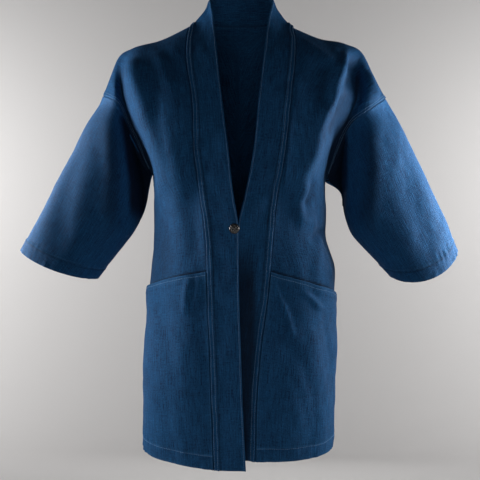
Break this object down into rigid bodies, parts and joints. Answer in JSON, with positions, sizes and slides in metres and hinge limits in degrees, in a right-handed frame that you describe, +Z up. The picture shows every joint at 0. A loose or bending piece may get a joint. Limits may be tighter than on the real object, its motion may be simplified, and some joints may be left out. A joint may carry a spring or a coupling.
{
  "type": "kimono coat",
  "caption": "Hip-length kimono coat in indigo denim with a broad neckband, dropped wide sleeves, low front pockets and a knot button.",
  "frame": {"origin": "middle of the neck opening, at the height of the neck points of the shoulders, where the wearer's shoulders hold the coat", "axes": "+Z up along the wearer, -Y the way the wearer faces, -X the wearer's right hand side"},
  "size_m": [0.8386, 0.282, 0.8904],
  "materials": {
    "denim": "piece-dyed indigo slub denim, matte, tonal topstitching",
    "button": "dark moulded woven-knot button, satin gloss"
  },
  "bodies": {
    "root": {"back": "denim", "front_right": "denim", "front_left": "denim", "neckband": "denim", "sleeve_right": "denim", "sleeve_left": "denim", "pocket_right": "denim", "pocket_left": "denim", "button": "button"}
  },
  "joints": []
}
